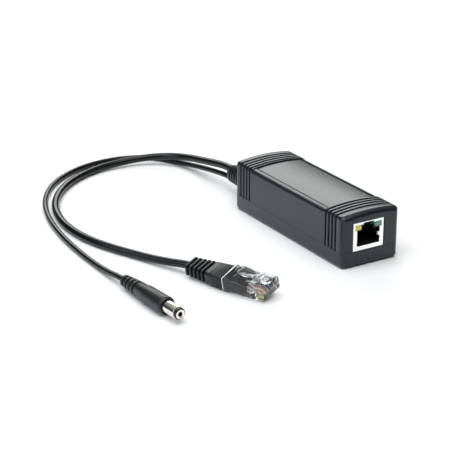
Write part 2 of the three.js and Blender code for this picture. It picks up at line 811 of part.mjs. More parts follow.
// The latch's own outline from above: narrow at the root, wide at the catch, narrow
// behind it and wide again at the thumb end.
function latchPlan() {
  const halfSide = [
    [0.4, 1.6],
    [-3.2, 1.6],
    [-3.6, 3],
    [-5.6, 3],
    [-6, 1.6],
    [-7.6, 1.6],
    [-9.4, 2.8],
    [-LATCH_REACH, 2.8],
  ];
  const otherSide = halfSide.map(([x, y]) => [x, -y]).reverse();
  return outline([...otherSide, ...halfSide]);
}

function plugLatch() {
  const arm = alongZ(latchPlan(), [-LATCH_THICK / 2, LATCH_THICK / 2]);
  return arm.rotateY(LATCH_ANGLE).translate(LATCH_HINGE[0], 0, LATCH_HINGE[1]);
}

// The boot's outline at reach, which runs from 0 at its front to 1 at its rear.
function bootOutline(reach) {
  const at = (edge) => THREE.MathUtils.lerp(BOOT_FRONT[edge], BOOT_REAR[edge], reach);
  return roundedOutline([-at("side"), at("side")], [at("bottom"), at("top")], 0.8, 1.1);
}

// A length of the boot between two reaches, bent sideways about the boot's front.
function bootPart(from, to) {
  const rings = [to, from].map((reach) => ringAt(-reach * BOOT_LENGTH - 0.1, bootOutline(reach)));
  return skinned(rings).rotateZ(BOOT_BEND).translate(-PLUG_LENGTH, 0, 0);
}

function plugBoot() {
  const blockReach = BOOT_BLOCK / BOOT_LENGTH;
  const spineShape = roundedRect([-3.3, 3.3], [1.1, 5.1], 1.4);
  const spine = alongX(spineShape, [-BOOT_LENGTH + 0.5, -BOOT_BLOCK + 0.5]);
  const tongue = alongX(roundedRect([-3.8, 3.8], [1.8, 5.2], 1.2), [-PLUG_LENGTH - 0.5, -10.5]);
  const pieces = [
    solidOf(bootPart(0, blockReach)),
    solidOf(spine.rotateZ(BOOT_BEND).translate(-PLUG_LENGTH, 0, 0)),
    solidOf(tongue),
  ];
  const pitch = (1 - blockReach) / BOOT_RIBS;
  for (let k = 1; k <= BOOT_RIBS; k++) {
    const rear = blockReach + pitch * k;
    pieces.push(solidOf(bootPart(rear - pitch * 0.58, rear)));
  }
  return joined(pieces);
}

// One wire inside the plug: from its place in the bundle's two rows to its own channel.
function plugWire(index) {
  const column = (index >> 1) - 1.5;
  const row = index % 2 === 0 ? 0.6 : -0.6;
  const points = [
    [-10.2, column * 1.5, WIRE_Z + row],
    [-8.8, column * 1.6, WIRE_Z + row],
    [-7, (column * 1.8 + contactY(index)) / 2, WIRE_Z + row * 0.5],
    [-5.3, contactY(index), WIRE_Z],
    [-3.5, contactY(index), WIRE_Z],
    [-1.2, contactY(index), WIRE_Z],
  ];
  return tube(points, 2 * WIRE_RADIUS, 9, 6);
}

const WIRE_COLORS = [
  0xe6c9a0, 0xd9772b, 0xcfe3cf, 0x2c57a8, 0xc9d3e6, 0x2f8f4a, 0xdccbb8, 0x7a4a2a,
];

addPiece("plug_body", geometryOf(plugBody()), clearPlastic(), plug);
addPiece("plug_latch", plugLatch(), clearPlastic(), plug);
addPiece("plug_boot", geometryOf(plugBoot()), blackRubber(), plug);
for (let k = 0; k < CONTACT_COUNT; k++) {
  const blade = box([-4.2, -1.3], [contactY(k) - 0.17, contactY(k) + 0.17], [0.5, 2.9]);
  addPiece("plug_contact_" + (k + 1), blade, gold(), plug);
  addPiece("plug_wire_" + (k + 1), plugWire(k), finish(WIRE_COLORS[k], 0.4), plug);
}

// ---- DC plug -------------------------------------------------------------------------

const dcPlug = new THREE.Group();
dcPlug.position.set(...DC_REAR);
dcPlug.rotation.set(0, -DC_TILT, DC_HEADING, "ZYX");
splitter.add(dcPlug);

const SLEEVE_END = GRIP_LENGTH + SLEEVE_LENGTH;
const COLLAR_FRONT = SLEEVE_END + 1.2;
const COLLAR_RADIUS = 2.55;
const LIP_FRONT = SLEEVE_END + 1.5;
const LIP_RADIUS = 2.05;

// The grip: four grooves at the rear, a shoulder, and a body that widens forward, with
// a recess in its front face for the sleeve.
function dcGrip() {
  const profile = [
    [0, 0],
    [0, 2.3],
    [0.3, 2.6],
  ];
  for (let k = 0; k < 4; k++) {
    const x = 1.8 + k * 3;
    const radius = 2.7 + k * 0.2;
    profile.push([x, radius], [x + 0.1, radius - 0.85]);
    profile.push([x + 1.1, radius - 0.75], [x + 1.2, radius + 0.1]);
  }
  profile.push([16.8, 3.35], [17.6, 3.8]);
  profile.push([GRIP_LENGTH - 1.4, 3.95], [GRIP_LENGTH - 0.4, 3.75], [GRIP_LENGTH, 3.35]);
  profile.push([GRIP_LENGTH, SLEEVE_RADIUS + GAP], [GRIP_LENGTH - 4, SLEEVE_RADIUS + GAP]);
  profile.push([GRIP_LENGTH - 4, 0]);
  return turned(profile);
}

const sleeveRear = GRIP_LENGTH - 4 + GAP;
const sleeveWall = 0.5;
const linerRadius = SLEEVE_RADIUS - sleeveWall - 0.15;
const contactRadius = 1.6;

addPiece("dc_grip", dcGrip(), blackRubber(), dcPlug);
addPiece(
  "dc_sleeve",
  turnedRing(
    [
      [sleeveRear, SLEEVE_RADIUS],
      [SLEEVE_END, SLEEVE_RADIUS],
    ],
    SLEEVE_RADIUS - sleeveWall,
  ),
  nickel(),
  dcPlug,
);
addPiece(
  "dc_insulator",
  turnedRing(
    [
      [sleeveRear, linerRadius],
      [SLEEVE_END + 0.15, linerRadius],
      [SLEEVE_END + 0.15, COLLAR_RADIUS],
      [COLLAR_FRONT - 0.1, COLLAR_RADIUS],
      [COLLAR_FRONT, COLLAR_RADIUS - 0.15],
    ],
    contactRadius + 0.12,
  ),
  finish(0x141415, 0.4),
  dcPlug,
);
addPiece(
  "dc_centre_contact",
  turnedRing(
    [
      [sleeveRear, contactRadius],
      [COLLAR_FRONT + 0.1, contactRadius],
      [COLLAR_FRONT + 0.15, LIP_RADIUS],
      [LIP_FRONT, LIP_RADIUS - 0.1],
    ],
    PIN_HOLE_RADIUS,
  ),
  nickel(),
  dcPlug,
);

export default splitter;
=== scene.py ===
"""The looks of a power-over-Ethernet splitter: its case, its network socket, its strain
relief and two cords, a modular network plug and a round DC plug. Shapes are worked out in
millimetres, in the CAD's own frame, and turned into metres as each mesh is made."""

import math

import bmesh
import bpy
from mathutils import Matrix, Vector


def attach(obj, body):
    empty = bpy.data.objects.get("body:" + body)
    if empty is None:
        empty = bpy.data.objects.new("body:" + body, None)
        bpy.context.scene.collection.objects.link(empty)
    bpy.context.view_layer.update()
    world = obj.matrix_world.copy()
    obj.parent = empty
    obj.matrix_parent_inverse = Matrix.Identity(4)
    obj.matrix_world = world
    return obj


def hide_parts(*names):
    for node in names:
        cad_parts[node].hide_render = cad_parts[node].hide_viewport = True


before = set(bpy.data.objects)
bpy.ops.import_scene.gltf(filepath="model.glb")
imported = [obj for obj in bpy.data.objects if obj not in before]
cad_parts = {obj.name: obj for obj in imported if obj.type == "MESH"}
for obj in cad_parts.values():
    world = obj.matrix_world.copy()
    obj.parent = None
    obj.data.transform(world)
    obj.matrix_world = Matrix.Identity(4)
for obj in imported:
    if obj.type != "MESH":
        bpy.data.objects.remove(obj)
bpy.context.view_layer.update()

MM = 0.001
QUARTER = math.pi / 2
ROOT = "splitter"
LATCH_BODY = "plug_latch_arm"

# ---- Camera ----------------------------------------------------------------------------

CAMERA_PLACE = (0.55681, -0.3875, 0.27641)
CAMERA_RIGHT = (0.52191, 0.85300, 0.0)
CAMERA_UP = (-0.32102, 0.19642, 0.92648)
CAMERA_BACK = (0.79029, -0.48354, 0.37634)
CAMERA_LENS = 126.04


def add_camera():
    """The camera at the viewpoint that the case, the plugs and the socket are seen from."""
    data = bpy.data.cameras.new("camera")
    data.sensor_width = 36
    data.lens = CAMERA_LENS
    data.clip_start = 0.01
    data.clip_end = 20
    camera = bpy.data.objects.new("camera", data)
    turn = Matrix((CAMERA_RIGHT, CAMERA_UP, CAMERA_BACK)).transposed().to_4x4()
    camera.matrix_world = Matrix.Translation(CAMERA_PLACE) @ turn
    bpy.context.scene.collection.objects.link(camera)
    bpy.context.scene.camera = camera


# ---- Mesh helpers ----------------------------------------------------------------------


def arc(centre, radius, start, stop, steps):
    """Points along an arc between two angles in radians."""
    points = []
    for k in range(steps + 1):
        angle = start + (stop - start) * k / steps
        points.append((centre[0] + radius * math.cos(angle), centre[1] + radius * math.sin(angle)))
    return points


def rounded_outline(x_span, y_span, lower, upper=None, steps=5):
    """A rectangle with one radius for its lower corners and one for its upper ones."""
    upper = lower if upper is None else upper
    (x0, x1), (y0, y1) = x_span, y_span
    return [
        *arc((x1 - lower, y0 + lower), lower, -QUARTER, 0, steps),
        *arc((x1 - upper, y1 - upper), upper, 0, QUARTER, steps),
        *arc((x0 + upper, y1 - upper), upper, QUARTER, 2 * QUARTER, steps),
        *arc((x0 + lower, y0 + lower), lower, 2 * QUARTER, 3 * QUARTER, steps),
    ]


def skin(rings, closed=False):
    """Vertices and faces of a skin over rings of equal length; the ends get flat caps."""
    count = len(rings[0])
    vertices = [point for ring in rings for point in ring]
    faces = []
    for row in range(len(rings) if closed else len(rings) - 1):
        low, high = row * count, ((row + 1) % len(rings)) * count
        for k in range(count):
            after = (k + 1) % count
            faces.append((low + k, low + after, high + after, high + k))
    if not closed:
        last = (len(rings) - 1) * count
        faces.append(tuple(reversed(range(count))))
        faces.append(tuple(range(last, last + count)))
    return vertices, faces


def stacked(sections):
    """Rings from (x, outline) pairs, where an outline holds (y, z) points."""
    return [[(x, y, z) for y, z in outline] for x, outline in sections]


def lathe(profile, segments=64):
    """A profile of (x, radius) points turned round X: a solid if it ends on the axis, or
    a ring if it is a closed loop."""
    loop = profile[0] == profile[-1]
    points = profile[:-1] if loop else [p for p in profile if p[1] > 0]
    rings = []
    for x, radius in points:
        ring = []
        for k in range(segments):
            angle = 2 * math.pi * k / segments
            ring.append((x, radius * math.cos(angle), radius * math.sin(angle)))
        rings.append(ring)
    return skin(rings, closed=loop)


def prism(outline, axis, low, high):
    """A straight-sided solid: the outline's two numbers are the other two axes in order."""
    place = {
        "x": lambda p, h: (h, p[0], p[1]),
        "y": lambda p, h: (p[0], h, p[1]),
        "z": lambda p, h: (p[0], p[1], h),
    }[axis]
    return skin([[place(p, h) for p in outline] for h in (low, high)])


def block(x_span, y_span, z_span):
    """A box between two places on each axis."""
    corners = [(x_span[k], y_span[j]) for k, j in ((0, 0), (1, 0), (1, 1), (0, 1))]
    return prism(corners, "z", *z_span)


def raw_object(name, shape, place=None, bevel=0.0, segments=2):
    """An object from vertices in millimetres, moved to its place, with its edges eased."""
    vertices, faces = shape
    mesh = bpy.data.meshes.new(name)
    mesh.from_pydata([Vector(v) for v in vertices], [], faces)
    made = bmesh.new()
    made.from_mesh(mesh)
    bmesh.ops.recalc_face_normals(made, faces=made.faces)
    if bevel:
        sharp = [e for e in made.edges if e.is_manifold and e.calc_face_angle() > 0.5]
        bmesh.ops.bevel(
            made, geom=sharp, offset=bevel, segments=segments, affect="EDGES", profile=0.5
        )
    if place is not None:
        bmesh.ops.transform(made, matrix=place, verts=made.verts)
    bmesh.ops.scale(made, vec=(MM, MM, MM), verts=made.verts)
    made.to_mesh(mesh)
    made.free()
    obj = bpy.data.objects.new(name, mesh)
    bpy.context.scene.collection.objects.link(obj)
    return obj


def applied(obj):
    """Makes the object's modifiers part of its mesh."""
    graph = bpy.context.evaluated_depsgraph_get()
    mesh = bpy.data.meshes.new_from_object(obj.evaluated_get(graph))
    old = obj.data
    obj.modifiers.clear()
    obj.data = mesh
    bpy.data.meshes.remove(old)
    return obj


def carve(obj, *cutters):
    """Cuts the cutters out of the object, and removes them."""
    for cutter in cutters:
        modifier = obj.modifiers.new("carve", "BOOLEAN")
        modifier.operation = "DIFFERENCE"
        modifier.solver = "EXACT"
        modifier.object = cutter
    applied(obj)
    for cutter in cutters:
        bpy.data.objects.remove(cutter)
    return obj


def joined(obj, *others):
    """Adds the others' meshes to the object's, and removes them."""
    made = bmesh.new()
    for source in (obj, *others):
        made.from_mesh(source.data)
    made.to_mesh(obj.data)
    made.free()
    for other in others:
        bpy.data.objects.remove(other)
    return obj


def settle(obj, body, material, replaces=(), smooth=math.radians(35)):
    """Shades the piece, gives it its material, and declares where it belongs."""
    if obj.type == "MESH":
        for polygon in obj.data.polygons:
            polygon.use_smooth = True
        obj.data.set_sharp_from_angle(angle=smooth)
    obj.data.materials.clear()
    obj.data.materials.append(material)
    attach(obj, body)
    if replaces:
        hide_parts(*replaces)
    return obj


# ---- Materials -------------------------------------------------------------------------


def moulded(
    name, color, rough, vary=0.12, cloud=70.0, grain=2600.0, height=0.012, metallic=0.0,
    streak=None, specular=0.5,
):
    """A surface with slow changes in colour and gloss, and a fine grain as bump. The
    noise sizes are in cycles per metre, and the grain's height is in millimetres."""
    material = bpy.data.materials.new(name)
    material.use_nodes = True
    nodes, links = material.node_tree.nodes, material.node_tree.links
    shader = nodes["Principled BSDF"]
    shader.inputs["Metallic"].default_value = metallic
    shader.inputs["Specular IOR Level"].default_value = specular
    coordinates = nodes.new("ShaderNodeTexCoord")
    stretch = nodes.new("ShaderNodeMapping")
    stretch.inputs["Scale"].default_value = streak or (1, 1, 1)
    links.new(coordinates.outputs["Object"], stretch.inputs["Vector"])

    def noise(scale, detail):
        texture = nodes.new("ShaderNodeTexNoise")
        texture.inputs["Scale"].default_value = scale
        texture.inputs["Detail"].default_value = detail
        links.new(stretch.outputs["Vector"], texture.inputs["Vector"])
        return texture

    clouds, fine = noise(cloud, 5), noise(grain, 3)
    ramp = nodes.new("ShaderNodeValToRGB")
    low, high = ramp.color_ramp.elements
    low.position, high.position = 0.3, 0.7
    low.color = (*[c * (1 - vary) for c in color], 1)
    high.color = (*[min(c * (1 + vary), 1) for c in color], 1)
    links.new(clouds.outputs["Fac"], ramp.inputs["Fac"])
    links.new(ramp.outputs["Color"], shader.inputs["Base Color"])
    gloss = nodes.new("ShaderNodeMapRange")
    gloss.inputs["From Min"].default_value = 0.3
    gloss.inputs["From Max"].default_value = 0.7
    gloss.inputs["To Min"].default_value = rough * 0.88
    gloss.inputs["To Max"].default_value = min(rough * 1.14, 1)
    links.new(fine.outputs["Fac"], gloss.inputs["Value"])
    links.new(gloss.outputs["Result"], shader.inputs["Roughness"])
    bump = nodes.new("ShaderNodeBump")
    bump.inputs["Distance"].default_value = height * MM
    bump.inputs["Strength"].default_value = 1
    links.new(fine.outputs["Fac"], bump.inputs["Height"])
    links.new(bump.outputs["Normal"], shader.inputs["Normal"])
    return material


def clear_plastic(name):
    """Polycarbonate: light passes through, with faint flow marks in its surface."""
    material = moulded(name, (0.8, 0.84, 0.85), 0.04, 0.03, 160, 420, 0.008)
    shader = material.node_tree.nodes["Principled BSDF"]
    shader.inputs["Transmission Weight"].default_value = 1
    shader.inputs["IOR"].default_value = 1.5
    return material


def lens(name, color):
    """A tinted lamp lens that lets some light through, with a faint painted glow in its own colour
    for light scattered inside it.
    """
    material = moulded(name, color, 0.28, 0.15, 500, 1500, 0.01)
    shader = material.node_tree.nodes["Principled BSDF"]
    shader.inputs["Transmission Weight"].default_value = 0.25
    # Painted glow: a faint emission in the lens's own colour stands in for light scattered inside
    # the lens.
    shader.inputs["Emission Color"].default_value = (*color, 1)
    shader.inputs["Emission Strength"].default_value = 0.12
    return material


def striped(name, color):
    """A white wire with a coloured tracer along it."""
    material = moulded(name, (0.85, 0.83, 0.8), 0.35)
    nodes, links = material.node_tree.nodes, material.node_tree.links
    shader = nodes["Principled BSDF"]
    ground = shader.inputs["Base Color"].links[0].from_socket
    coordinates = nodes["Texture Coordinate"]
    wave = nodes.new("ShaderNodeTexWave")
    wave.bands_direction = "Y"
    wave.inputs["Scale"].default_value = 250
    wave.inputs["Distortion"].default_value = 1.5
    links.new(coordinates.outputs["Object"], wave.inputs["Vector"])
    threshold = nodes.new("ShaderNodeMath")
    threshold.operation = "GREATER_THAN"
    threshold.inputs[1].default_value = 0.68
    links.new(wave.outputs["Fac"], threshold.inputs[0])
    mix = nodes.new("ShaderNodeMix")
    mix.data_type = "RGBA"
    links.new(threshold.outputs["Value"], mix.inputs[0])
    links.new(ground, mix.inputs[6])
    mix.inputs[7].default_value = (*color, 1)
    links.new(mix.outputs[2], shader.inputs["Base Color"])
    return material


CASE_PLASTIC = moulded(
    "case_plastic", (0.0085, 0.0142, 0.021), 0.28, 0.12, 45, 3600, 0.011, specular=0.46
)
CORD_PVC = moulded(
    "cord_pvc", (0.005, 0.0056, 0.0066), 0.22, 0.2, 120, 1500, 0.004, specular=0.32
)
BOOT_PVC = moulded(
    "boot_pvc", (0.005, 0.0058, 0.0085), 0.36, 0.18, 90, 2200, 0.018, specular=0.36
)
GRIP_PVC = moulded(
    "grip_pvc", (0.006, 0.0072, 0.008), 0.4, 0.18, 90, 2400, 0.018, specular=0.5
)
HOUSING = moulded("socket_housing", (0.008, 0.008, 0.009), 0.5, 0.15, 150, 2500, 0.01)
NICKEL = moulded("nickel", (0.93, 0.93, 0.92), 0.24, 0.05, 300, 5000, 0.003, 1, (1, 1, 5))
BARREL = moulded("barrel_nickel", (0.83, 0.77, 0.68), 0.17, 0.05, 300, 6000, 0.002, 1, (6, 1, 1))
GOLD = moulded("gold", (0.86, 0.61, 0.24), 0.22, 0.08, 500, 5000, 0.002, 1)
CLEAR = clear_plastic("clear_plastic")
# Painted highlight: a pale opaque colour for the bright line along the clear body's rear edge.
PAINTED_RIM_HIGHLIGHT = moulded("clear_edge_painted_highlight", (0.7, 0.76, 0.76), 0.3, 0.06, 300, 1800, 0.006)
COLLAR = moulded("barrel_insulator", (0.01, 0.01, 0.011), 0.35, 0.15, 300, 3000, 0.008)

# ---- Cords -----------------------------------------------------------------------------

NETWORK_ROUTE = [
    (-64.3, -4.3, 11.3), (-71.5, -4.5, 10.9), (-78.3, -5, 10), (-88.3, -6, 8.5),
    (-98.2, -7.2, 7), (-107.6, -10.8, 5.7), (-115, -17.4, 4.6), (-119.8, -26, 3.5),
    (-121.8, -35.9, 2.6), (-121.5, -45.9, 2.1), (-118.6, -55.6, 1.9), (-113.9, -64.5, 1.9),
    (-107.8, -72.6, 1.9), (-100.5, -79.6, 1.9), (-92.2, -85.4, 1.9), (-83.1, -89.9, 1.9),
    (-73.5, -93, 1.9), (-63.5, -94.9, 1.9), (-53.4, -95.3, 1.9), (-43.3, -94.4, 1.9),
    (-33.5, -92, 1.9), (-24, -88.5, 1.9), (-14.9, -84.6, 2), (-5.8, -80.9, 2.4),
    (3.8, -76.9, 3.3), (8.8, -74.85, 4), (13.37, -72.96, 4.43),
]
DC_ROUTE = [
    (-64.3, -4.8, 6.9), (-71.5, -4.8, 6.4), (-78.3, -4.7, 5.5), (-88.3, -4.6, 4),
    (-98.3, -5.3, 2.6), (-108.1, -7.5, 1.6), (-117.3, -11.7, 1.4), (-124.6, -18.3, 1.4),
    (-129, -27.4, 1.4), (-130.6, -37.4, 1.4), (-129.7, -47.4, 1.4), (-126.8, -57.1, 1.4),
    (-122, -66.2, 1.4), (-115.9, -74.2, 1.4), (-108.5, -81.1, 1.4), (-100.2, -86.9, 1.4),
    (-91.2, -91.5, 1.4), (-81.8, -95.2, 1.4), (-72.1, -98.1, 1.4), (-62.2, -100.2, 1.4),
    (-52.2, -101.8, 1.4), (-42.1, -102.9, 1.4), (-32, -103.5, 1.4), (-21.9, -103.8, 1.4),
    (-11.8, -103.8, 1.6), (-1.7, -103.75, 2.4), (5, -103.5, 3.2), (10.4, -103.2, 3.5),
]
NETWORK_DIAMETER = 3.6
DC_DIAMETER = 2.6


def smooth_route(points, per_span=8):
    """Points along the centripetal Catmull-Rom curve through the given ones."""
    points = [Vector(p) for p in points]
    whole = [2 * points[0] - points[1], *points, 2 * points[-1] - points[-2]]
    route = []
    for a, b, c, d in zip(whole, whole[1:], whole[2:], whole[3:]):
        gap0, gap1, gap2 = (max((q - p).length, 1e-6) ** 0.5 for p, q in ((a, b), (b, c), (c, d)))
        leave = ((b - a) / gap0 - (c - a) / (gap0 + gap1) + (c - b) / gap1) * gap1
        arrive = ((c - b) / gap1 - (d - b) / (gap1 + gap2) + (d - c) / gap2) * gap1
        for k in range(per_span):
            t = k / per_span
            cubic = 2 * (b - c) + leave + arrive
            square = 3 * (c - b) - 2 * leave - arrive
            route.append(cubic * t**3 + square * t**2 + leave * t + b)
    return [*route, points[-1]]


def round_curve(name, points, diameter, fineness=6):
    """An open curve in millimetres, as thick as its diameter."""
    data = bpy.data.curves.new(name, "CURVE")
    data.dimensions = "3D"
    data.bevel_depth = diameter / 2 * MM
    data.bevel_resolution = fineness
    data.use_fill_caps = True
    spline = data.splines.new("POLY")
    spline.points.add(len(points) - 1)
    for place, point in zip(spline.points, points):
        place.co = (*(Vector(point) * MM), 1)
    spline.use_smooth = True
    obj = bpy.data.objects.new(name, data)
    bpy.context.scene.collection.objects.link(obj)
    return obj


def add_cord(name, route, diameter, node):
    """A round cord along its route, in place of the CAD's cord."""
    obj = round_curve(name, smooth_route(route), diameter)
    return settle(obj, ROOT, CORD_PVC, [node])


add_camera()
network_lead = add_cord("network_lead", NETWORK_ROUTE, NETWORK_DIAMETER, "network_cord")
dc_lead = add_cord("dc_lead", DC_ROUTE, DC_DIAMETER, "dc_cord")

# ---- Case ------------------------------------------------------------------------------

CASE_LENGTH, CASE_WIDTH, CASE_HEIGHT = 87.5, 30.0, 25.0
END_X = CASE_LENGTH / 2
ARCH_RISE = 1.3
SHOULDER_RADIUS, END_RADIUS, FOOT_RADIUS = 1.9, 2.4, 1.9
PARTING_Z, SEAM = 7.3, 0.13
WALL, LOWER_WALL, FLOOR = 2.0, 3.1, 1.8
GROOVE_COUNT = 4
GROOVE_WIDTH, GROOVE_DEPTH, GROOVE_PITCH = 1.15, 0.55, 2.5
FRONT_GROOVE_INSET, REAR_GROOVE_INSET = 5.0, 4.7
PANEL_ENDS = (-29.6, 29.3)
PANEL_DROP, LABEL_DROP, LABEL_EDGE_DROP = 0.4, 0.2, 0.8
LABEL_HALF_WIDTH, LABEL_EDGE = 12.5, 0.7
BOARD_HALF_WIDTH, ON_BOARD = 11.6, 7.4
POST_X, POST_SIZE, POST_GAP = (-31, 18), 1.6, 0.4
LIP_INSET, LIP_FOOT, LIP_TOP = 2.3, 6.9, 8.85
LEDGE_X, LEDGE_Y, LEDGE_TOP = (-33.5, 38.3), (9.9, 12.1), 5.2
JACK_Y, JACK_HALF_WIDTH, JACK_TOP, JACK_GAP = -1.3, 8.0, 20.3, 0.3
GLAND_Y, GLAND_Z = -4.5, 10.2
GLAND_HOLE = (3.9, 5.1)

ARCH_RADIUS = ((CASE_WIDTH / 2) ** 2 + ARCH_RISE**2) / (2 * ARCH_RISE)
ARCH_CENTRE = CASE_HEIGHT - ARCH_RADIUS


def shoulder_of(inset):
    """The shoulder arc's centre and radius, and how far the arch turns to reach it."""
    small = max(SHOULDER_RADIUS - inset, 0.5)
    reach = ARCH_RADIUS - inset - small
    y = CASE_WIDTH / 2 - inset - small
    return (y, ARCH_CENTRE + math.sqrt(reach**2 - y**2)), small, math.asin(y / reach)


def arch_steps():
    """Where the arch has points, as (share of its half width, share of the label's drop,
    share of the drop of the channel round the label)."""
    lean = shoulder_of(0)[2]

    def share(y):
        return math.asin(y / ARCH_RADIUS) / lean

    inside = LABEL_HALF_WIDTH - LABEL_EDGE
    half = [
        (share(LABEL_HALF_WIDTH + 0.04), 0, 0),
        (share(LABEL_HALF_WIDTH - 0.04), 0, 1),
        (share(inside + 0.04), 0, 1),
        (share(inside - 0.04), 1, 0),
        *[(share(inside * k / 6), 1, 0) for k in range(5, 0, -1)],
    ]
    return [*half, (0, 1, 0), *[(-y, a, b) for y, a, b in reversed(half)]]


ARCH_STEPS = arch_steps()


def case_outline(inset, base, drop=0.0, label=0.0, edge=0.0):
    """The case's outline across its width, moved inwards by the inset. drop lowers the
    top, label lowers the label field further, and edge the channel round it."""
    centre, small, lean = shoulder_of(inset)
    half = CASE_WIDTH / 2 - inset
    foot = max(FOOT_RADIUS - inset, 0.4)
    radius = ARCH_RADIUS - inset
    top = [*arc(centre, small, 0, QUARTER - lean, 8)]
    for share, in_label, in_edge in ARCH_STEPS:
        y, z = radius * math.sin(share * lean), ARCH_CENTRE + radius * math.cos(share * lean)
        top.append((y, z - label * in_label - edge * in_edge))
    top += arc((-centre[0], centre[1]), small, QUARTER + lean, 2 * QUARTER, 8)
    return [
        *arc((half - foot, base + foot), foot, -QUARTER, 0, 6),
        *[(y, z - drop) for y, z in top],
        *arc((foot - half, base + foot), foot, 2 * QUARTER, 3 * QUARTER, 6),
    ]


def end_stations(inset):
    """(x, inset) from the edge of the flat length to the end face, round the end edge."""
    edge = max(END_RADIUS - inset, 0.5)
    stations = []
    for k in range(9):
        turn = k / 8 * QUARTER
        x = END_X - inset - edge * (1 - math.sin(turn))
        stations.append((x, inset + edge * (1 - math.cos(turn))))
    return stations


def groove_stations():
    """(x, depth) at each groove's lips and floor, from the rear to the front."""
    steps = [k * GROOVE_PITCH for k in range(GROOVE_COUNT)]
    rear = [-END_X + REAR_GROOVE_INSET + step for step in steps]
    front = [END_X - FRONT_GROOVE_INSET - step - GROOVE_WIDTH for step in steps]
    lip = ((-0.1, 0), (-0.02, 0.03), (0.03, 0.12), (0.07, GROOVE_DEPTH))
    stations = []
    for x in sorted(rear + front):
        stations += [(x + d, depth) for d, depth in lip]
        stations += [(x + GROOVE_WIDTH - d, depth) for d, depth in reversed(lip)]
    return stations


def panel_stations():
    """(x, drop, label, edge) on both sides of each end of the panel."""
    soft = 0.05
    stations = []
    for end, inwards in zip(PANEL_ENDS, (1, -1)):
        stations.append((end - inwards * soft, 0, 0, 0))
        stations.append((end + inwards * soft, PANEL_DROP, LABEL_DROP, LABEL_EDGE_DROP))
    return stations


def case_solid(name, inset=0.0, base=0.0, detailed=False):
    """The whole case as one closed solid, with its grooves and panel if it is detailed."""
    ends = end_stations(inset)
    sections = []
    for x, depth in ends:
        rise = base + (depth - inset) * FOOT_RADIUS / END_RADIUS
        sections.append((x, case_outline(depth, rise)))
        sections.append((-x, case_outline(depth, rise)))
    if detailed:
        sections += [(x, case_outline(depth, base)) for x, depth in groove_stations()]
        sections += [(x, case_outline(0, base, *drops)) for x, *drops in panel_stations()]
    sections.sort(key=lambda section: section[0])
    return raw_object(name, skin(stacked(sections)))


def slab(low, high):
    """A block over the whole plan of the case between two heights."""
    return raw_object("slab", block((-60, 60), (-30, 30), (low, high)))


def gland_hole():
    """A cutter for the strain relief's oval hole in the rear wall."""
    outline = []
    for k in range(48):
        angle = k * math.pi / 24
        y, z = GLAND_HOLE[0] * math.cos(angle), GLAND_HOLE[1] * math.sin(angle)
        outline.append((GLAND_Y + y, GLAND_Z + z))
    return raw_object("hole", prism(outline, "x", -END_X - 2, -END_X + LOWER_WALL + 1))


def jack_hole():
    """A cutter for the socket's opening in the front wall."""
    y_span = (JACK_Y - JACK_HALF_WIDTH - JACK_GAP, JACK_Y + JACK_HALF_WIDTH + JACK_GAP)
    return raw_object("hole", block((38, 46), y_span, (7.15, JACK_TOP + JACK_GAP)))


def upper_shell():
    """The crowned upper shell, with four posts that hold the board down."""
    shell = case_solid("upper_shell", detailed=True)
    carve(shell, slab(-5, PARTING_Z + SEAM / 2), case_solid("hollow", WALL, -3))
    carve(shell, jack_hole())
    carve(shell, gland_hole())
    posts = []
    for x in POST_X:
        for side in (-1, 1):
            y = side * (BOARD_HALF_WIDTH - 1.1)
            y_span = (y - POST_SIZE / 2, y + POST_SIZE / 2)
            z_span = (ON_BOARD, CASE_HEIGHT - WALL - POST_GAP)
            post = block((x, x + POST_SIZE), y_span, z_span)
            posts.append(raw_object("post", post, bevel=0.15))
    joined(shell, *posts)
    settle(shell, ROOT, CASE_PLASTIC, ["upper_case"])


def lower_shell():
    """The tray, with a lip that fits inside the upper shell and two ledges for the board."""
    tray = case_solid("lower_shell")
    carve(tray, slab(PARTING_Z - SEAM / 2, 40), case_solid("hollow", LOWER_WALL, FLOOR))
    lip = case_solid("lip", LIP_INSET, 1)
    carve(lip, slab(-5, LIP_FOOT), slab(LIP_TOP, 40), case_solid("hollow", LOWER_WALL, FLOOR))
    ledges = []
    for side in (-1, 1):
        y_span = sorted(side * y for y in LEDGE_Y)
        ledge = block(LEDGE_X, y_span, (FLOOR - 0.2, LEDGE_TOP))
        ledges.append(raw_object("ledge", ledge, bevel=0.2))
    carve(tray, jack_hole())
    carve(tray, gland_hole())
    carve(lip, jack_hole())
    carve(lip, gland_hole())
    joined(tray, lip, *ledges)
    settle(tray, ROOT, CASE_PLASTIC, ["lower_case"])


upper_shell()
lower_shell()

# ---- Strain relief ---------------------------------------------------------------------

GLAND_END, GLAND_KNEE, GLAND_END_Z = -64.0, 0.7, 9.1
GLAND_HALF_WIDTH, GLAND_HALF_HEIGHT = (4.2, 2.8), (5.4, 4.3)
FLANGE_HALVES, NECK_HALVES = (4.7, 5.9), (3.6, 4.8)
RING_PITCH, RING_WIDTH, RING_COUNT = 2.4, 1.5, 8


def oval(x, width, height, z):
    """An oval ring at x, from half its width and half its height."""
    ring = []
    for k in range(56):
        angle = 2 * math.pi * k / 56
        ring.append((x, GLAND_Y + width * math.cos(angle), z + height * math.sin(angle)))
    return ring


def gland_oval(x, shrink):
    """The strain relief's outline at x: slim changes at first, and faster at the end."""
    reach = min(max((-END_X - x) / (-END_X - GLAND_END), 0), 1)
    beyond = max(reach - GLAND_KNEE, 0) / (1 - GLAND_KNEE)
    taper = min(reach, GLAND_KNEE) / 2 + beyond * (1 - GLAND_KNEE / 2)
    (wide, narrow), (tall, low) = GLAND_HALF_WIDTH, GLAND_HALF_HEIGHT
    width = wide + (narrow - wide) * taper - shrink
    height = tall + (low - tall) * taper - shrink
    return oval(x, width, height, GLAND_Z + (GLAND_END_Z - GLAND_Z) * taper)


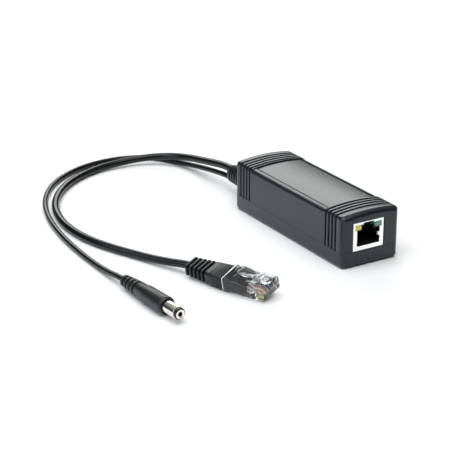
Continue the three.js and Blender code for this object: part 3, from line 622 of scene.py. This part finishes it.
def strain_relief():
    """The strain relief: a flange and a neck inside the wall, and a row of rings outside."""
    rings = [oval(x, *FLANGE_HALVES, GLAND_Z) for x in (-38.2, -40.2)]
    rings += [oval(x, *NECK_HALVES, GLAND_Z) for x in (-40.3, -END_X - 0.3)]
    lip = ((0.0, 0.22), (0.08, 0.08), (0.22, 0.0))
    for k in range(RING_COUNT):
        start = -END_X - 0.35 - k * RING_PITCH
        stop = GLAND_END if k == RING_COUNT - 1 else start - RING_WIDTH
        rings += [gland_oval(start - d, shrink) for d, shrink in lip]
        rings += [gland_oval(stop + d, shrink) for d, shrink in reversed(lip)]
        if k < RING_COUNT - 1:
            for d, shrink in ((0.02, 0.7), (0.12, 0.9)):
                rings.append(gland_oval(stop - d, shrink))
            for d, shrink in ((0.12, 0.9), (0.02, 0.7)):
                rings.append(gland_oval(start - RING_PITCH + d, shrink))
    rings.append(gland_oval(GLAND_END, 0.9))
    gland = raw_object("strain_relief", skin(rings))
    return settle(gland, ROOT, BOOT_PVC, ["cable_gland"], math.radians(50))


gland = strain_relief()

# ---- Network plug ----------------------------------------------------------------------

PLUG_NOSE = (52.4, -56.2, 1.2)
PLUG_HEADING, PLUG_ROLL, BOOT_BEND = math.radians(23.6), math.radians(12.5), math.radians(-2.6)
PLUG_PLACE = (
    Matrix.Translation(PLUG_NOSE)
    @ Matrix.Rotation(PLUG_HEADING, 4, "Z")
    @ Matrix.Rotation(PLUG_ROLL, 4, "X")
)
PLUG_LENGTH, PLUG_HALF_WIDTH = 21.3, 5.84
BOOT_LENGTH, BOOT_BLOCK, BOOT_EASE = 20.8, 9.6, 0.3
BOOT_RIBS, RIB_SHARE = 5, 0.58
BOOT_PLACE = (
    PLUG_PLACE
    @ Matrix.Translation((-PLUG_LENGTH, 0, 0))
    @ Matrix.Rotation(BOOT_BEND, 4, "Z")
)
# The boot at each end: how far it reaches to either side, its bottom and its top
BOOT_FRONT = (5.85, 5.85, 0.0, 6.4)
BOOT_REAR = (4.2, 4.2, 0.5, 5.7)
CONTACT_COUNT, CONTACT_PITCH = 8, 1.016
LATCH_HINGE, LATCH_ANGLE = (-0.8, 0, 7.2), math.radians(8)


def contact_y(index):
    """How far across the plug a contact lies, counted from 0."""
    return (index - (CONTACT_COUNT - 1) / 2) * CONTACT_PITCH


def plug_body():
    """The clear body, and a rim round its rear opening in a pale colour: a painted highlight for
    the bright edge of the clear plastic there.
    """
    side = [
        (-PLUG_LENGTH + 0.5, 0.4), (-0.7, 0.4), (0, 1.1), (0, 5.5), (-0.9, 6.4), (-3.2, 6.4),
        (-4.2, 6), (-13.3, 6), (-14.2, 6.4), (-20.1, 6.4), (-20.3, 6.7), (-20.8, 6.7),
    ]
    half = PLUG_HALF_WIDTH
    body = raw_object("clear_body", prism(side, "y", -half, half), PLUG_PLACE, 0.28, 3)
    cutters = [
        raw_object("cut", block((-18.6, -17.2), (-3.2, 3.2), (5.9, 8)), PLUG_PLACE, 0.3),
        raw_object("cut", block((-12.6, -6.4), (-2.4, 2.4), (5.55, 8)), PLUG_PLACE, 0.3),
        raw_object("cut", block((-8.2, -6.6), (-5.2, 5.2), (-1, 1.4)), PLUG_PLACE, 0.2),
    ]
    for k in range(CONTACT_COUNT):
        span = (contact_y(k) - 0.3, contact_y(k) + 0.3)
        cutters.append(raw_object("cut", block((-4.6, -1), span, (0, 3.1)), PLUG_PLACE))
    for cutter in cutters:
        carve(body, cutter)
    settle(body, ROOT, CLEAR, ["plug_body"], math.radians(30))
    edge = rounded_outline((-half, half), (0.4, 6.62), 0.5, 0.7)
    rim = raw_object("painted_highlight_rim", prism(edge, "x", -21.25, -20.82), PLUG_PLACE, 0.08)
    return body, settle(rim, ROOT, PAINTED_RIM_HIGHLIGHT)


def plug_latch():
    """The latch: wide at its root, with two catches, and a broad thumb end."""
    stations = [
        (0.5, 1.5, 0.2), (0.0, 1.9, 0.5), (-1.2, 2.1, 0.62), (-3.1, 1.9, 0.55),
        (-3.5, 3.0, 0.5), (-5.6, 3.0, 0.5), (-6.0, 1.7, 0.45), (-8.2, 1.8, 0.42),
        (-10.2, 2.7, 0.42), (-13.2, 2.8, 0.42), (-14.2, 2.6, 0.36), (-14.5, 2.3, 0.2),
    ]
    tilt = Matrix.Rotation(LATCH_ANGLE, 4, "Y")
    place = PLUG_PLACE @ Matrix.Translation(LATCH_HINGE) @ tilt
    rings = []
    for x, half, thick in stations:
        outline = rounded_outline((-half, half), (-thick, thick), min(0.18, thick * 0.8), steps=3)
        rings.append([(x, y, z) for y, z in outline])
    latch = raw_object("clear_latch", skin(rings), place)
    return settle(latch, LATCH_BODY, CLEAR, ["plug_latch"], math.radians(40))


def boot_outline(reach, shrink=0.0, steps=5):
    """The boot's outline at a share of its length, drawn in by the shrink."""
    near, far, bottom, top = (a + (b - a) * reach for a, b in zip(BOOT_FRONT, BOOT_REAR))
    spans = (-near + shrink, far - shrink), (bottom + shrink, top - shrink)
    return rounded_outline(*spans, 0.9, 1.3, steps)


def boot_length(name, start, stop, lip):
    """A solid between two distances behind the boot's front, with rounded ends."""
    sections = []
    steps = ((0, lip), (lip * 0.4, lip * 0.35), (lip, 0))
    for d, shrink in steps:
        sections.append((-start - d, boot_outline((start + d) / BOOT_LENGTH, shrink)))
    for d, shrink in reversed(steps):
        sections.append((-stop + d, boot_outline((stop - d) / BOOT_LENGTH, shrink)))
    return raw_object(name, skin(stacked(sections)), BOOT_PLACE)


def plug_boot():
    """The boot: a block with a score line, a ribbed spine, and a tongue in the clear body."""
    boot = boot_length("cable_boot", 0.1, BOOT_BLOCK, BOOT_EASE)
    step = raw_object("step", block((-6.75, -6.5), (-4.9, 7), (5.9, 9)), BOOT_PLACE)
    carve(boot, step)
    spine = prism(rounded_outline((-3.3, 3.3), (1.1, 5.1), 1.4), "x", -BOOT_LENGTH + 0.6, -9)
    tongue_sections = [
        (-22.2, rounded_outline((-5.2, 5.2), (1.3, 5.45), 1.0)),
        (-17.5, rounded_outline((-5.2, 5.2), (1.4, 5.4), 1.0)),
        (-13.2, rounded_outline((-4.6, 4.6), (1.8, 5.3), 1.1)),
        (-9.7, rounded_outline((-3.7, 3.7), (2.7, 4.6), 0.9)),
    ]
    pieces = [
        raw_object("spine", spine, BOOT_PLACE),
        raw_object("tongue", skin(stacked(tongue_sections)), PLUG_PLACE, 0.25),
    ]
    pitch = (BOOT_LENGTH - BOOT_BLOCK) / BOOT_RIBS
    for k in range(BOOT_RIBS):
        rear = BOOT_BLOCK + pitch * (k + 1)
        pieces.append(boot_length("rib", rear - pitch * RIB_SHARE, rear, BOOT_EASE))
    joined(boot, *pieces)
    return settle(boot, ROOT, BOOT_PVC, ["plug_boot"])


WIRE_PAIRS = ["orange", "orange", "green", "blue", "blue", "green", "brown", "brown"]
PAIR_COLORS = {
    "orange": (0.72, 0.36, 0.22),
    "green": (0.05, 0.18, 0.09),
    "blue": (0.04, 0.07, 0.2),
    "brown": (0.13, 0.07, 0.05),
}
WIRE_Z, WIRE_DIAMETER = 3.6, 0.92


def wire_material(index):
    """Plain colour for every second wire, and white with a stripe of it for the others."""
    pair = WIRE_PAIRS[index]
    if index % 2:
        return moulded("wire_" + pair, PAIR_COLORS[pair], 0.35)
    return striped("wire_white_" + pair, PAIR_COLORS[pair])


def plug_wires():
    """The eight wires: two rows at the rear of the clear body, one row under the contacts."""
    wires = []
    for k in range(CONTACT_COUNT):
        column = (k >> 1) - 1.5
        row = 0.55 if k % 2 == 0 else -0.55
        points = [
            (-10.5, column * 1.55, WIRE_Z + row),
            (-8.6, column * 1.65, WIRE_Z + row),
            (-7, (column * 1.8 + contact_y(k)) / 2, WIRE_Z + row * 0.3),
            (-5.4, contact_y(k), WIRE_Z),
            (-3.2, contact_y(k), WIRE_Z),
            (-1.2, contact_y(k), WIRE_Z),
        ]
        route = [PLUG_PLACE @ p for p in smooth_route(points, 6)]
        wire = round_curve(f"lead_wire_{k + 1}", route, WIRE_DIAMETER, 3)
        wires.append(settle(wire, ROOT, wire_material(k), [f"plug_wire_{k + 1}"]))
    return wires


clear_body, painted_highlight_rim = plug_body()
clear_latch = plug_latch()
cable_boot = plug_boot()
lead_wires = plug_wires()

# ---- DC plug ---------------------------------------------------------------------------

DC_REAR = (10.7, -103.2, 3.5)
DC_HEADING, DC_PITCH = math.radians(2.9), math.radians(-1.2)
DC_PLACE = (
    Matrix.Translation(DC_REAR)
    @ Matrix.Rotation(DC_HEADING, 4, "Z")
    @ Matrix.Rotation(DC_PITCH, 4, "Y")
)
GRIP_LENGTH, SLEEVE_LENGTH, SLEEVE_RADIUS = 33.6, 8.1, 2.75
SLEEVE_END = GRIP_LENGTH + SLEEVE_LENGTH
SLEEVE_REAR = GRIP_LENGTH - 3.7
COLLAR_END, TIP_END = SLEEVE_END + 1.2, SLEEVE_END + 1.5
COLLAR_RADIUS, TIP_RADIUS = 2.5, 2.05
GRIP_GROOVES, GRIP_PITCH = 4, 3


def dc_grip():
    """The grip: four grooves at the rear, a step, and a body that widens forward."""
    profile = [(0, 1.2), (0, 2.2), (0.12, 2.42), (0.35, 2.55)]
    for k in range(GRIP_GROOVES):
        x, radius = 1.8 + k * GRIP_PITCH, 2.68 + k * 0.2
        profile += [(x - 0.2, radius - 0.01), (x, radius - 0.12), (x + 0.08, radius - 0.7)]
        profile += [(x + 0.2, radius - 0.88), (x + 1.0, radius - 0.8), (x + 1.12, radius - 0.5)]
        profile += [(x + 1.2, radius - 0.02), (x + 1.4, radius + 0.1)]
    profile += [(16.6, 3.34), (16.9, 3.38), (17.4, 3.74), (17.7, 3.8), (26, 3.88)]
    profile += [(GRIP_LENGTH - 1.6, 3.94), (GRIP_LENGTH - 0.8, 3.88), (GRIP_LENGTH - 0.3, 3.7)]
    profile += [(GRIP_LENGTH, 3.4), (GRIP_LENGTH, 3.05), (SLEEVE_REAR - 0.3, 3.05)]
    profile += [(SLEEVE_REAR - 0.3, 0.3)]
    grip = raw_object("dc_plug_grip", lathe(profile, 72), DC_PLACE)
    return settle(grip, ROOT, GRIP_PVC, ["dc_grip"])


def dc_ring(name, outer, bore, material, node):
    """A turned ring from its outer profile and its bore's radius."""
    first, last = (outer[0][0], bore), (outer[-1][0], bore)
    ring = raw_object(name, lathe([first, *outer, last, first], 64), DC_PLACE)
    return settle(ring, ROOT, material, [node])


def dc_tip():
    """The bright barrel, the black collar beyond it, and the ring round the pin's hole."""
    end = SLEEVE_END
    sleeve = [(SLEEVE_REAR, SLEEVE_RADIUS), (end - 0.2, SLEEVE_RADIUS)]
    sleeve += [(end - 0.06, SLEEVE_RADIUS - 0.04), (end, SLEEVE_RADIUS - 0.13)]
    collar = [(SLEEVE_REAR, 2.1), (end + 0.12, 2.1), (end + 0.14, COLLAR_RADIUS)]
    collar += [(COLLAR_END - 0.08, COLLAR_RADIUS), (COLLAR_END, COLLAR_RADIUS - 0.08)]
    contact = [(SLEEVE_REAR, 1.6), (TIP_END - 0.2, 1.6), (TIP_END - 0.14, TIP_RADIUS - 0.05)]
    contact += [(TIP_END - 0.06, TIP_RADIUS), (TIP_END, TIP_RADIUS - 0.09)]
    contact += [(TIP_END, 1.5), (TIP_END - 0.2, 1.15)]
    return [
        dc_ring("dc_barrel", sleeve, 2.25, BARREL, "dc_sleeve"),
        dc_ring("dc_collar", collar, 1.72, COLLAR, "dc_insulator"),
        dc_ring("dc_pin_socket", contact, 1.05, BARREL, "dc_centre_contact"),
    ]


dc_plug_grip = dc_grip()
dc_tip_pieces = dc_tip()

# ---- The CAD nodes that stay -----------------------------------------------------------


def ease_edges(node, width):
    """Merges a node's flat facets and rounds its edges a little."""
    flat = node.modifiers.new("flat", "DECIMATE")
    flat.decimate_type = "DISSOLVE"
    flat.angle_limit = math.radians(1)
    edge = node.modifiers.new("edge", "BEVEL")
    edge.width = width * MM
    edge.segments = 2
    edge.limit_method = "ANGLE"
    edge.angle_limit = math.radians(40)


def dress(names, material, ease=0.0):
    """Gives CAD nodes that stay their material, and eases their edges if asked."""
    for name in names:
        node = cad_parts[name]
        for slot in node.material_slots:
            slot.material = material
        if ease:
            ease_edges(node, ease)


def numbered(stem):
    """The names of the nodes that there is one of for each contact."""
    return [f"{stem}_{k}" for k in range(1, CONTACT_COUNT + 1)]


package = moulded("moulded_package", (0.02, 0.02, 0.022), 0.42, 0.2, 200, 3000, 0.01)
dress(["jack_shield"], NICKEL, 0.12)
dress(["jack_housing"], HOUSING, 0.1)
dress(["led_yellow"], lens("yellow_lens", (0.64, 0.68, 0.07)), 0.45)
dress(["led_green"], lens("green_lens", (0.13, 0.37, 0.21)), 0.45)
dress(numbered("jack_contact"), GOLD, 0.05)
dress(numbered("plug_contact"), GOLD, 0.05)
dress(["circuit_board"], moulded("solder_mask", (0.02, 0.15, 0.06), 0.35, 0.25, 400, 1500, 0.02))
dress(["data_transformer", "bridge_rectifier_1", "bridge_rectifier_2"], package, 0.12)
dress(["power_controller_chip", "switching_controller_chip", "output_diode"], package, 0.08)
dress(["transformer_bobbin"], package, 0.1)
sleeve_film = moulded("capacitor_sleeve", (0.03, 0.035, 0.1), 0.28, 0.2, 300, 1800, 0.01)
dress(["input_capacitor", "output_capacitor"], sleeve_film)
ferrite = moulded("ferrite", (0.06, 0.06, 0.065), 0.7, 0.25, 500, 3500, 0.03)
dress(["transformer_core", "power_inductor"], ferrite, 0.15)
winding = moulded("winding", (0.6, 0.34, 0.08), 0.35, 0.3, 300, 1500, 0.05, 0.0, (1, 1, 8))
dress(["transformer_winding"], winding, 0.1)
WIRE_COLORS = {
    "dc_wire_positive": (0.45, 0.02, 0.02),
    "dc_wire_negative": (0.015, 0.015, 0.016),
    "network_pair_orange": (0.7, 0.24, 0.04),
    "network_pair_green": (0.03, 0.3, 0.08),
    "network_pair_blue": (0.03, 0.11, 0.45),
    "network_pair_brown": (0.22, 0.09, 0.04),
}
for node_name, wire_color in WIRE_COLORS.items():
    dress([node_name], moulded(node_name + "_cover", wire_color, 0.4, 0.2, 300, 2000, 0.01))

# ---- Floor and light -------------------------------------------------------------------


FLOOR_RADIUS, FLOOR_Z, FLOOR_POINTS = 1.3, -0.00005, 96


def add_floor():
    """A round pale floor, a hair below the part. Its sizes are in metres."""
    outline = arc((0, 0), FLOOR_RADIUS, 0, 4 * QUARTER, FLOOR_POINTS)[:-1]
    mesh = bpy.data.meshes.new("floor")
    corners = [(x, y, FLOOR_Z) for x, y in outline]
    mesh.from_pydata(corners, [], [tuple(range(FLOOR_POINTS))])
    floor = bpy.data.objects.new("floor", mesh)
    bpy.context.scene.collection.objects.link(floor)
    mesh.materials.append(moulded("floor_paper", (0.92, 0.92, 0.92), 0.85, 0.01, 8, 900, 0.01))


def area_light(name, place, target, size, power, color=(1, 1, 1)):
    """A rectangular soft light aimed at its target, in metres and watts."""
    data = bpy.data.lights.new(name, "AREA")
    data.shape = "RECTANGLE"
    data.size, data.size_y = size
    data.energy = power
    data.color = color
    light = bpy.data.objects.new(name, data)
    aim = Vector(target) - Vector(place)
    turn = aim.to_track_quat("-Z", "Y").to_matrix().to_4x4()
    light.matrix_world = Matrix.Translation(place) @ turn
    bpy.context.scene.collection.objects.link(light)


def add_sky():
    """A dim horizon that brightens overhead, as in a small studio tent."""
    world = bpy.data.worlds.new("studio")
    bpy.context.scene.world = world
    world.use_nodes = True
    nodes, links = world.node_tree.nodes, world.node_tree.links
    background = nodes["Background"]
    coordinates = nodes.new("ShaderNodeTexCoord")
    split = nodes.new("ShaderNodeSeparateXYZ")
    ramp = nodes.new("ShaderNodeValToRGB")
    elements = ramp.color_ramp.elements
    elements[0].position, elements[0].color = 0.2, (0.02, 0.021, 0.023, 1)
    elements[1].position, elements[1].color = 0.85, (1, 1, 1, 1)
    middle = elements.new(0.5)
    middle.color = (0.13, 0.14, 0.145, 1)
    links.new(coordinates.outputs["Generated"], split.inputs["Vector"])
    links.new(split.outputs["Z"], ramp.inputs["Fac"])
    links.new(ramp.outputs["Color"], background.inputs["Color"])
    background.inputs["Strength"].default_value = 0.55


add_floor()
add_sky()
area_light("softbox_over", (0.1, -0.25, 1.1), (0, -0.03, 0), (1.3, 1.1), 11.5)
area_light("softbox_back", (-1.06, 0.44, 0.67), (0, 0, 0.02), (1.1, 0.55), 7.6, (0.96, 1, 0.96))
area_light("softbox_left", (-0.1, -1.1, 0.55), (0, -0.03, 0.01), (0.8, 0.6), 4, (0.72, 0.87, 1))
bpy.context.scene.view_settings.view_transform = "Standard"
